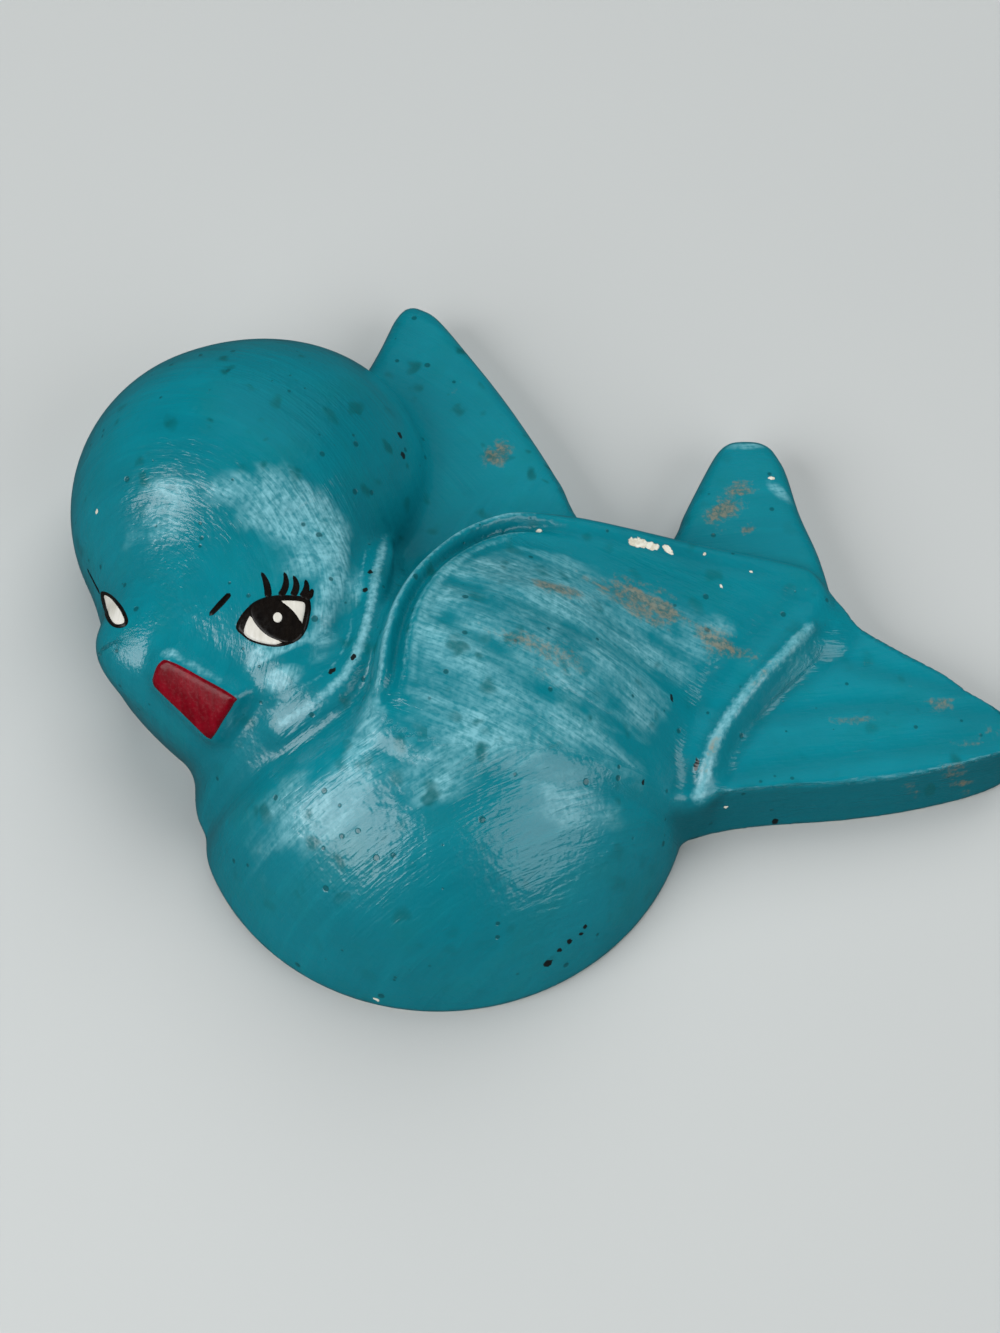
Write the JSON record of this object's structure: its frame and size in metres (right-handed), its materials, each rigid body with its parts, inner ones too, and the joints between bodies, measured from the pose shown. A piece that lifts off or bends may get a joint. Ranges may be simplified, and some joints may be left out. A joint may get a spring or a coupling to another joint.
{
  "type": "chalkware bird wall plaque",
  "caption": "Chalkware bird in half relief: a hollow-backed painted plaster casting with a flat back and a wire hanger, to hang on a wall.",
  "frame": {"origin": "on the flat back plane, under the middle of the casting's outline", "axes": "+Z out of the wall through the relief, +Y up on the wall, +X towards the tail"},
  "size_m": [0.243, 0.205, 0.0575],
  "materials": {
    "painted_plaster": "plaster of Paris under brushed blue-green paint, satin and worn",
    "hanger_steel": "dull drawn wire",
    "red_enamel": "brushed gloss paint",
    "black_enamel": "brushed gloss paint",
    "white_enamel": "brushed gloss paint"
  },
  "bodies": {
    "root": {"bird_casting": "painted_plaster", "hanger_wire": "hanger_steel", "beak_paint": "red_enamel", "near_eye_black": "black_enamel", "near_eye_white": "white_enamel", "far_eye_black": "black_enamel", "far_eye_white": "white_enamel"}
  },
  "joints": []
}
